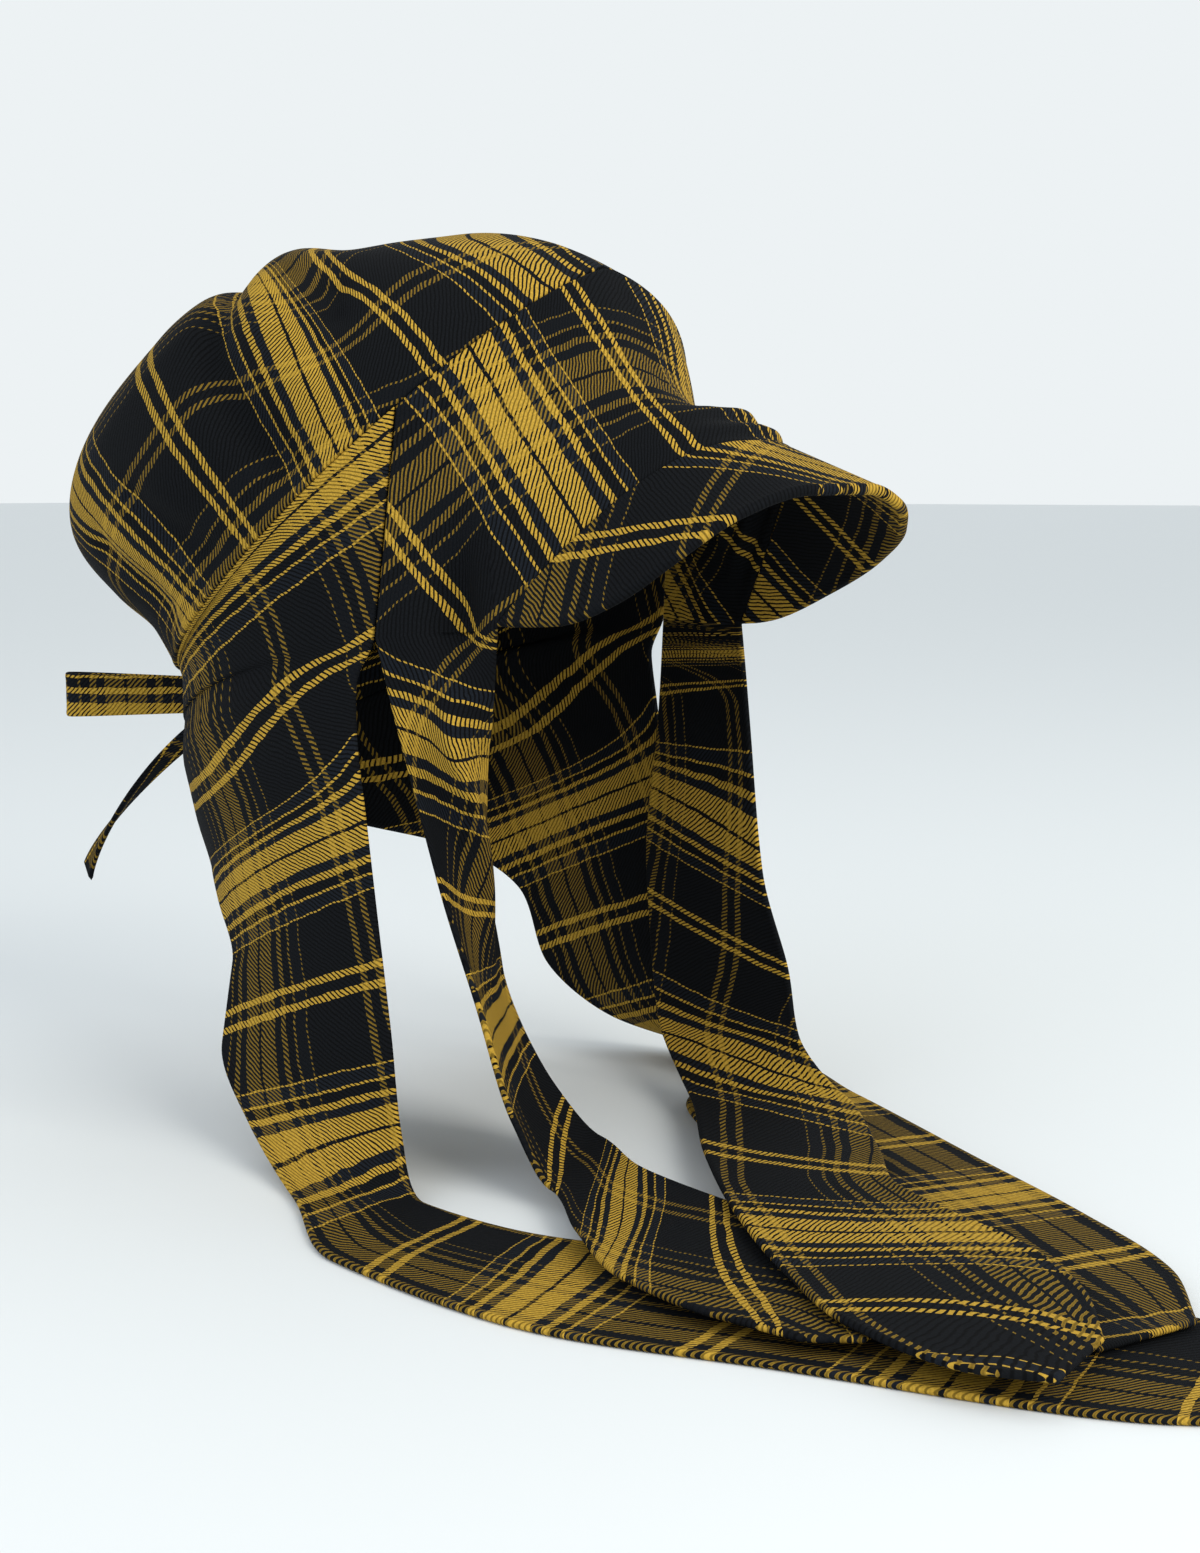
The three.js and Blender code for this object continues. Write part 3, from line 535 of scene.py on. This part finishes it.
def band_points(across, way):
    """Front band: straight from the ring to its lower edge, pushed out and in by bell-shaped ridges and
    hollows, and by a crease on each side that goes on into the tail."""
    across, way = np.broadcast_arrays(np.asarray(across, float), np.asarray(way, float))
    gap_angle = math.degrees(seam_gap / (ring_length / 2))
    top = on_ring((side_seam_angle - gap_angle) * (2 * across - 1), 1, -sewn_thickness / 2, 1, 0)
    low = band_low(across)
    aside = unit(band_low(np.minimum(across + 0.01, 1)) - band_low(np.maximum(across - 0.01, 0)))
    out = unit(np.cross(unit(low - top), aside))
    move = sum(f[4] * hump(across - f[0], f[2]) * hump(way - f[1], f[3]) for f in band_folds)
    late = smooth_step(0.45, 1, way)
    crease = hump(across / corner_share - fold_at, fold_width) * late
    left_fold = left_front_tail["fold"][0]
    crease = crease + left_fold * hump((1 - across) / corner_share - fold_at, fold_width) * late
    inside = (across > corner_share) & (across < 1 - corner_share)
    held = smooth_step(0, 0.15, way) * np.where(inside, 1 - smooth_step(0.93, 1, way), 1)
    return top + (low - top) * way[..., None] + out * (front_fold_depth * (move * held - crease))[..., None]


def strip_points(rows, way, share, mirror, bed):
    """Hanging strip: at each way an arc from its near to its far edge, a cubic curve that leaves both edges
    outwards by the angles leave and arrive. Returns the points and the outward directions."""
    way, share = np.broadcast_arrays(np.asarray(way, float), np.asarray(share, float))

    def edge(which, at):
        return np.stack([mirror * along(rows, which + "Side", at) * side_half,
                         along(rows, which + "Back", at) * back_reach,
                         -along(rows, which + "Down", at) * (table_drop - bed)], -1)
    near, far = edge("near", way), edge("far", way)
    later, sooner = np.minimum(way + 0.01, 1), np.maximum(way - 0.01, 0)
    down = unit(edge("near", later) + edge("far", later) - edge("near", sooner) - edge("far", sooner))
    leave, arrive = -mirror * along(rows, "leave", way), -mirror * along(rows, "arrive", way)
    size = np.linalg.norm(far - near, axis=-1)
    chord = unit(far - near)
    out = unit(np.cross(chord, down))
    handle = (0.333 + 0.057 * (np.abs(leave) + np.abs(arrive)) / 90) * size
    lift = [np.radians(leave)[..., None], np.radians(arrive)[..., None]]
    handle = handle[..., None]
    near_arm = near + handle * (chord * np.cos(lift[0]) + out * np.sin(lift[0]))
    far_arm = far + handle * (out * np.sin(lift[1]) - chord * np.cos(lift[1]))
    t = share[..., None]
    place = near * (1 - t)**3 + near_arm * 3 * t * (1 - t)**2 + far_arm * 3 * t**2 * (1 - t) + far * t**3
    return place, out


def front_tail_points(rows, way, share, mirror, bed):
    """Front tail: a hanging strip with a crease along it. Its start is moved onto the band's lower edge, and
    the move fades out by the square of the way."""
    way, share = np.broadcast_arrays(np.asarray(way, float), np.asarray(share, float))
    place, out = strip_points(rows, way, share, mirror, bed)
    start, start_out = strip_points(rows, 0 * way, share, mirror, bed)
    crease = hump(share - fold_at, fold_width) * front_fold_depth
    place = place + out * (mirror * along(rows, "fold", way) * crease)[..., None]
    start = start + start_out * (mirror * rows["fold"][0] * crease)[..., None]
    across = share * corner_share if mirror < 0 else 1 - share * corner_share
    fade = np.maximum(1 - way / join_fade, 0) ** 2
    return place + (band_points(across, np.ones_like(across)) - start) * fade[..., None]


def lay_flat(grid, heading=0.0):
    """Rolls a strip out flat in mm, row by row. Each row stays straight. The next one is moved by the mean
    step along and across the row, and turned by how much faster one end steps than the other. Heading is the
    first row's direction in degrees."""
    run = np.linalg.norm(np.diff(grid, axis=1), axis=2)
    place = np.concatenate([np.zeros((len(grid), 1)), np.cumsum(run, axis=1)], axis=1)
    place -= place[:, -1:] / 2
    tangent = unit(np.gradient(grid, axis=1))
    step = np.diff(grid, axis=0)
    aside = np.sum(step * tangent[:-1], axis=2)
    ahead = np.sqrt(np.maximum(np.sum(step**2, axis=2) - aside**2, 0))
    slide = np.mean(place[:-1] + aside - place[1:], axis=1)
    spread = place[:-1] - place[:-1].mean(axis=1, keepdims=True)
    turn = np.sum(spread * ahead, axis=1) / np.sum(spread**2, axis=1)
    angle = math.radians(heading) + np.concatenate([[0], np.cumsum(turn)])
    c, s = np.cos(angle), np.sin(angle)
    forward = ahead.mean(axis=1)
    moves = np.stack([slide * c[:-1] - forward * s[:-1], slide * s[:-1] + forward * c[:-1]], -1)
    middles = np.concatenate([[[0, 0]], np.cumsum(moves, axis=0)])
    return middles[:, None] + place[..., None] * np.stack([c, s], -1)[:, None]


def edge_shares(width, step):
    """Shares of a width in mm, closer together beside the edges, where the cloth is round."""
    close = np.array([0, 0.2, 0.5, 0.9, 1.4, 2.0, 2.8, 3.8])
    end = width - close[::-1]
    count = max(int(round((end[0] - close[-1]) / step)), 1)
    return np.concatenate([close[:-1], np.linspace(close[-1], end[0], count + 1), end[1:]]) / width


def bed_of(layer):
    """Height over the table of the middle of a layer's cloth, counted from the lowest tail."""
    return first_bed + layer * layer_step


tail_width, tail_length, band_height, peak_width = 78, 400, 90, 230
tip_steps = np.array([3, 2.2, 1.5, 1.0, 0.6, 0.3, 0])
tail_across = edge_shares(tail_width, 2.2)
tail_count = len(tail_across)
tail_way = np.concatenate([np.linspace(0, 1 - 4 / tail_length, 230)[:-1], 1 - tip_steps / tail_length])
band_across = np.concatenate([tail_across * corner_share,
                              corner_share + (1 - 2 * corner_share) * edge_shares(peak_width, 2.4)[1:-1],
                              1 - tail_across[::-1] * corner_share])
band_way = edge_shares(band_height, 2.2)
band_grid = band_points(band_across[None, :], band_way[:, None])
right_tail_grid = front_tail_points(right_front_tail, tail_way[:, None], tail_across[None, :], -1, bed_of(2))
left_tail_grid = front_tail_points(left_front_tail, tail_way[:, None], tail_across[None, ::-1], 1, bed_of(3))
right_tail_grid[0], left_tail_grid[0] = band_grid[-1, :tail_count], band_grid[-1, -tail_count:]

tail_lie_columns = "way nearU nearV farU farV"
right_front_lie = table(tail_lie_columns, [
    # places on the tartan of the tail's two edges
    [0.000, -90.5, -33, -38, -79], [0.04, -99, -38, -84, -83], [0.085, -115.2, -48, -104, -98],
    [0.127, -129, -56, -118, -113], [0.173, -142, -64, -129, -124], [0.247, -172.8, -80, -145, -142],
    [0.29, -191, -92, -169, -154], [0.36, -221, -108, -217, -177], [0.467, -267, -126, -285, -196],
    [0.60, -305, -132, -343, -202], [0.69, -330, -124, -380, -195], [0.74, -352, -118, -404, -189],
    [0.83, -380, -107, -436, -178], [0.90, -394, -98, -453, -169], [1.00, -416, -86, -477, -157],
])
left_front_lie = table(tail_lie_columns, [
    [0.00, 99, -210, 60, -164], [0.12, 38, -223, 30, -163], [0.19, 0, -228, 11, -161],
    [0.227, -17, -227, 0, -159], [0.31, -57.6, -219, -40, -150], [0.352, -77, -215, -60, -145],
    [0.43, -115.2, -201, -92, -131], [0.52, -151, -189, -124, -117], [0.575, -172.8, -185, -146, -113],
    [0.645, -204, -179, -172.8, -107], [0.70, -230.4, -181, -188, -108], [0.76, -252, -179, -204, -107],
    [0.86, -290, -176, -230.4, -104], [0.93, -316, -172, -252, -100], [1.00, -340, -170, -275, -98],
])


def lie_between(rows, way, share):
    """Places on the tartan between a tail's two edges."""
    near = np.stack([along(rows, "nearU", way), along(rows, "nearV", way)], -1)
    far = np.stack([along(rows, "farU", way), along(rows, "farV", way)], -1)
    return near * (1 - share[..., None]) + far * share[..., None]


def tail_lie(rows, grid, way, share, top):
    """Places on the tartan of a tail that goes on from the band's lower edge, whose own places fade out.
    Where the tail narrows to its tip it has less cloth across, not tighter cloth."""
    way, share = np.broadcast_arrays(way, share)
    width = np.linalg.norm(np.diff(grid, axis=1), axis=2).sum(axis=1)
    narrow = np.minimum(width / np.median(width), 1)[:, None]
    narrow = np.where(way > tip_from, narrow, 1)
    place = lie_between(rows, way, 0.5 + (share - 0.5) * narrow)
    start = lie_between(rows, 0 * way, share)
    return place + (top[None] - start) * (np.maximum(1 - way / lie_fade, 0) ** 2)[..., None]


# The band is cut on the bias, and beside the wide stripe on its left its cloth is eased in by a finger's width
band_grain, band_ease = -45.0, 12.6
band_flat = lay_flat(band_grid.transpose(1, 0, 2), heading=-90.0).transpose(1, 0, 2)
band_cloth = turned(band_flat, band_grain, (-58.7, -1.5))
band_cloth[..., 0] += band_ease * smooth_step(18, 44, band_cloth[..., 0])
right_cloth = tail_lie(right_front_lie, right_tail_grid, tail_way[:, None], tail_across[None, :],
                       band_cloth[-1, :tail_count])
left_cloth = tail_lie(left_front_lie, left_tail_grid, tail_way[:, None], tail_across[None, ::-1],
                      band_cloth[-1, -tail_count:])
front_grids = [(band_grid, band_cloth), (right_tail_grid, right_cloth), (left_tail_grid, left_cloth)]
front_panel = cloth_piece("front_panel_cloth", front_grids, cloth_half, cloth_roll)
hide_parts("front_panel")

# Back panels
# Side and back bands, each cut in one with its long back tail. They meet at the middle of the back, where the
# bow is tied, and end at a slit behind the front tails.
back_columns = "way nearSide nearBack nearDown farSide farBack farDown leave arrive"
back_hanging = [
    [0.00, 0.98, -0.03, -0.378, 0.001, 1.00, 0.11, 40, 44],
    [0.13, 1.00, 0.025, 0.026, 0.001, 1.01, 0.34, 38, 50],
    [0.16, 1.02, 0.07, 0.11, 0.12, 0.98, 0.43, 38, 48],
    [0.20, 1.04, 0.06, 0.215, 0.44, 0.85, 0.50, 34, 40],
    [0.24, 1.05, 0.035, 0.335, 0.84, 0.61, 0.57, 20, 24],
    [0.29, 1.07, 0.00, 0.485, 1.00, 0.48, 0.67, 11, 11],
    [0.36, 1.11, -0.06, 0.715, 1.11, 0.46, 0.815, 8, 8],
]
right_back_tail = table(back_columns, back_hanging + [
    [0.43, 1.17, -0.12, 0.905, 1.27, 0.29, 0.935, 5, 5],
    [0.48, 1.32, -0.26, 0.99, 1.55, 0.01, 0.995, 3, 3],
    [0.54, 1.30, -0.49, 1.00, 1.96, -0.31, 1.00, 0, 0],
    [0.64, 1.10, -0.85, 1.00, 2.06, -0.76, 1.00, 0, 0],
    [0.77, 0.85, -1.30, 1.00, 1.80, -1.30, 1.00, 0, 0],
    [0.91, 0.56, -1.79, 1.00, 1.48, -1.85, 1.00, 0, 0],
    [1.00, 0.73, -2.09, 1.00, 1.08, -2.13, 1.00, 0, 0],
])
left_back_tail = table(back_columns, back_hanging + [
    [0.43, 1.10, -0.11, 0.92, 1.28, 0.29, 0.95, 5, 5],
    [0.48, 0.90, -0.18, 0.99, 1.43, 0.05, 0.995, 3, 3],
    [0.54, 0.57, -0.22, 1.00, 1.42, -0.20, 1.00, 0, 0],
    [0.64, 0.22, -0.38, 1.00, 1.08, -0.53, 1.00, 0, 0],
    [0.77, -0.31, -0.82, 1.00, 0.53, -1.01, 1.00, 0, 0],
    [0.88, -0.73, -1.16, 1.00, 0.12, -1.37, 1.00, 0, 0],
    [0.96, -1.12, -1.45, 1.00, -0.26, -1.64, 1.00, 0, 0],
    [1.00, -1.12, -1.70, 1.00, -0.68, -1.78, 1.00, 0, 0],
])


def back_points(rows, way, share, mirror, bed):
    """Back band and tail: a hanging strip whose top follows the seam ring and whose near edge follows the
    straight side seam down to the slit. At the middle of the back the two panels all but touch."""
    way, share = np.broadcast_arrays(np.asarray(way, float), np.asarray(share, float))
    place = strip_points(rows, way, share, mirror, bed)[0]
    band_end = rows["way"][1]
    gap_angle = math.degrees(seam_gap / (ring_length / 2))
    first, last = side_seam_angle + gap_angle, 180 - gap_angle * 0.1
    fade = (np.maximum(1 - way / band_end, 0) ** 2)[..., None]

    def pulled(at, base):
        on_seam = on_ring(mirror * (first + (last - first) * at), 1, -sewn_thickness / 2, 1, 0)
        return base + (on_seam - strip_points(rows, 0 * way, at, mirror, bed)[0]) * fade
    slit = np.array([mirror * side_half, slit_back + seam_gap, -slit_drop])
    corner = on_ring(mirror * first, 1, -sewn_thickness / 2, 1, 0)
    straight = corner + (slit - corner) * np.clip(way / band_end, 0, 1)[..., None]
    near = pulled(0 * share, strip_points(rows, way, 0 * share, mirror, bed)[0])
    pull = (straight - near) * ((1 - share) ** 3 * (way < band_end))[..., None]
    return pulled(share, place) + pull


back_lie = table("way nearU nearV middleU middleV farU farV", [
    # places on the tartan of the panel's two edges and its middle
    [0.000, 6, -148, 3, -18, 0, 102], [0.013, 0, -143, -1, -16, -4, 102],
    [0.067, -27, -120, -17, -7, -22, 102], [0.133, -57.6, -100, -33, 8, -45, 111],
    [0.20, -92, -79, -58, 3, -80, 82], [0.247, -115.2, -71, -115, -18, -118, 34],
    [0.30, -151, -65, -151, -22, -152, 23], [0.331, -172.8, -62, -171, -20, -168, 25],
    [0.36, -191, -60, -186, -20, -180, 27], [0.42, -230, -57, -219, -21, -211, 14],
    [0.47, -258, -57, -245, -21, -235, 15], [0.514, -288, -57, -270, -21, -257, 15],
    [0.58, -340, -57, -318, -21, -295, 15], [0.64, -372, -57, -356, -21, -340, 15],
    [0.72, -406, -57, -401, -21, -396, 15], [0.80, -450, -57, -446, -21, -442, 15],
    [1.00, -560, -57, -557, -21, -555, 15],
])
back_width, back_length = 85, 600
top_steps = np.array([0, 0.3, 0.7, 1.2, 1.8, 2.6])
back_share = edge_shares(back_width, 2.3)
back_way = np.concatenate([top_steps / back_length, np.linspace(3.6 / back_length, 1 - 4 / back_length, 250),
                           1 - tip_steps / back_length])


def back_places(mirror):
    """Places on the tartan of a back panel: at each way a parabola across it, through those of its two edges
    and its middle. The left panel is cut as a mirror image of the right one."""
    near, middle, far = (np.stack([along(back_lie, edge + "U", back_way),
                                   -mirror * along(back_lie, edge + "V", back_way)], -1)[:, None]
                         for edge in ("near", "middle", "far"))
    s = back_share[None, :, None]
    return near * (1 - s) * (1 - 2 * s) + middle * 4 * s * (1 - s) + far * s * (2 * s - 1)


for side_name, rows, mirror, layer in (("right", right_back_tail, -1, 0), ("left", left_back_tail, 1, 1)):
    grid = back_points(rows, back_way[:, None], back_share[None, :], mirror, bed_of(layer))
    panel = cloth_piece("back_panel_" + side_name + "_cloth", [(grid, back_places(mirror))],
                        cloth_half, cloth_roll)
    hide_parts("back_panel_" + side_name)

# Peak
# Arched peak of the same tartan over a thin stiffener, sewn to the front band and turned in along its outer
# edge. It reaches furthest in front, and its corners end where the front tails begin.
peak_reach, peak_thickness = 49, 3.4
peak_tuck, peak_roll, corner_clear = 0.5, 0.3, 0.02
peak_edge = table("way side fore up", [
    [0.00, -1.00, -1.15, 0.00],
    [0.10, -1.035, -0.55, 0.03],
    [0.18, -1.00, -0.14, 0.145],
    [0.27, -0.90, 0.29, 0.39],
    [0.36, -0.71, 0.59, 0.61],
    [0.46, -0.38, 0.84, 0.74],
    [0.55, -0.03, 0.99, 0.745],
    [0.62, 0.19, 1.02, 0.66],
    [0.69, 0.36, 0.90, 0.52],
    [0.78, 0.58, 0.51, 0.34],
    [0.88, 0.82, -0.14, 0.13],
    [0.96, 0.97, -0.83, -0.06],
    [1.00, 1.00, -1.15, -0.10],
])


def peak_points(share, out):
    """Peak: straight lines from just inside its seam to its outer edge."""
    share, out = np.broadcast_arrays(np.asarray(share, float), np.asarray(out, float))
    inner = peak_seam(share)
    outer = np.stack([along(peak_edge, "side", share) * peak_corner_half,
                      -peak_seam_fore - along(peak_edge, "fore", share) * peak_reach,
                      along(peak_edge, "up", share) * peak_seam_rise], -1)
    width = np.maximum(np.linalg.norm(outer - inner, axis=-1), 4)[..., None]
    start = -peak_tuck / width
    return inner + unit(outer - inner) * width * (start + (1 - start) * out[..., None])


peak_share = corner_clear + (1 - 2 * corner_clear) * edge_shares(240, 2.4)
peak_grid = peak_points(peak_share[None, :], edge_shares(50, 2.2)[:, None])
peak_flat = lay_flat(peak_grid.transpose(1, 0, 2), heading=-90.0).transpose(1, 0, 2)
peak_cloth = turned(peak_flat, -10.0, (32.0, 18.0))
peak = cloth_piece("peak_cloth", [(peak_grid, peak_cloth)], peak_thickness / 2, peak_roll)
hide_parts("peak")

# Tie bow
# A ribbon of the same tartan, sewn double and pulled from a channel at the nape, is tied in a bow: a round
# knot, two loops that stand on edge, and two twisted ends.
knot_width, knot_depth, knot_height, knot_down = 24, 15, 20, 40
loop_reach, loop_swing, loop_height, loop_mouth, loop_fullness = 62, 35, 19, 2.4, 7.5
end_width, tie_thickness, tie_roll = 12, 1.8, 0.2
nape_back = 174.2
knot_middle = np.array([0, nape_back, -knot_down])


def loop_points(turn, up, mirror):
    """Loop: the ribbon runs out from the knot, round its tip and back, by a sine of the turn, and is a little
    lower in height at the knot, where it is pinched."""
    turn, up = np.broadcast_arrays(np.asarray(turn, float), np.asarray(up, float))
    swing = math.radians(loop_swing)
    ahead = np.array([mirror * math.sin(swing), math.cos(swing), 0])
    aside = np.array([mirror * math.cos(swing), -math.sin(swing), 0])
    bend = np.maximum(np.sin(np.pi * turn), 0)
    clear = knot_depth * 0.36 + seam_gap
    out = clear + (loop_reach - clear) * bend**0.8
    spread = -np.cos(np.pi * turn) * (loop_mouth + (loop_fullness - loop_mouth) * bend)
    root = knot_middle + [mirror * knot_width * 0.28, 0, 0]
    place = root + out[..., None] * ahead + spread[..., None] * aside
    place[..., 2] += (up - 0.5) * loop_height * (0.8 + 0.2 * bend)
    return place


def end_points(mirror, out, fall, swing, turn_from, turn_to, way, across):
    """End: the ribbon leaves the knot outwards, falls by a power of the way and turns about its length."""
    way, across = np.broadcast_arrays(np.asarray(way, float), np.asarray(across, float))
    level = np.array([mirror * math.sin(math.radians(swing)), math.cos(math.radians(swing)), 0])
    clear = tie_thickness / 2 + seam_gap
    middle = (knot_middle + [mirror * knot_width * 0.16, 0, -knot_height * 0.46]
              + (clear + out * (1 - (1 - way) ** 1.3))[..., None] * level)
    middle[..., 2] -= clear + fall * way**1.15
    turn = np.radians(turn_from + (turn_to - turn_from) * way)
    steep = math.atan2(fall, out)
    side = np.array([-level[1], level[0], 0])
    lift = np.array([level[0] * math.sin(steep), level[1] * math.sin(steep), math.cos(steep)])
    width = (across - 0.5) * end_width * (0.75 + 0.25 * way)
    return middle + (width * np.cos(turn))[..., None] * side + (width * np.sin(turn))[..., None] * lift


def knot_points(turn, side):
    """Knot: a ball wound round the line across it, squarer than a round one by a power of 2.4, and pressed in
    by bell-shaped pleats. Side is a share of half its width."""
    swell = (1 - np.abs(side) ** 2.4) ** (1 / 2.4)
    pleat = 1 - 0.10 * hump(side - 0.35 * np.sin(turn), 0.10) - 0.07 * hump(side + 0.5, 0.09)
    pleat = pleat - 0.12 * hump(np.abs(side) - 0.86, 0.08)
    return np.stack([np.broadcast_to(side * knot_width / 2, pleat.shape),
                     np.cos(turn) * swell * pleat * knot_depth / 2,
                     np.sin(turn) * swell * pleat * knot_height / 2], -1) + knot_middle


loop_way, loop_share = np.linspace(0, 1, 121), edge_shares(18, 1.6)
for side_name, mirror in (("right", -1), ("left", 1)):
    grid = loop_points(loop_way[:, None], loop_share[None, :], mirror)
    loop = cloth_piece("tie_loop_" + side_name + "_cloth", [(grid, turned(lay_flat(grid), 0, (12, 30)))],
                       tie_thickness / 2, tie_roll)
    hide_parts("tie_loop_" + side_name)

end_way, end_share = np.linspace(0, 1, 81), edge_shares(end_width, 1.5)
end_runs = [
    # side   mirror, out, fall, swing, turn from, turn to
    ("right", (-1, 62, 69, 23, 60, -50)),
    ("left", (1, 48, 70, 55, 60, 10)),
]
for side_name, run in end_runs:
    grid = end_points(*run, end_way[:, None], end_share[None, :])
    end = cloth_piece("tie_end_" + side_name + "_cloth", [(grid, turned(lay_flat(grid), 0, (17, 35)))],
                      tie_thickness / 2, tie_roll)
    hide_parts("tie_end_" + side_name)

knot_turn = np.linspace(0, 2 * np.pi, 97)[:, None]
knot_side = np.sin(np.linspace(-np.pi / 2, np.pi / 2, 57))[None, :]
knot_ball = knot_points(knot_turn, knot_side)
knot_ball[-1] = knot_ball[0]
# One turn round the knot takes 57 mm of the ribbon, whose width of 22 mm lies between its ends
knot_cloth = np.stack(np.broadcast_arrays(knot_side * 11 + 12, knot_turn * 9), -1)
knot = make_mesh("tie_knot_cloth", *sew([(knot_ball, knot_cloth)]), tartan_twill)
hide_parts("tie_knot")
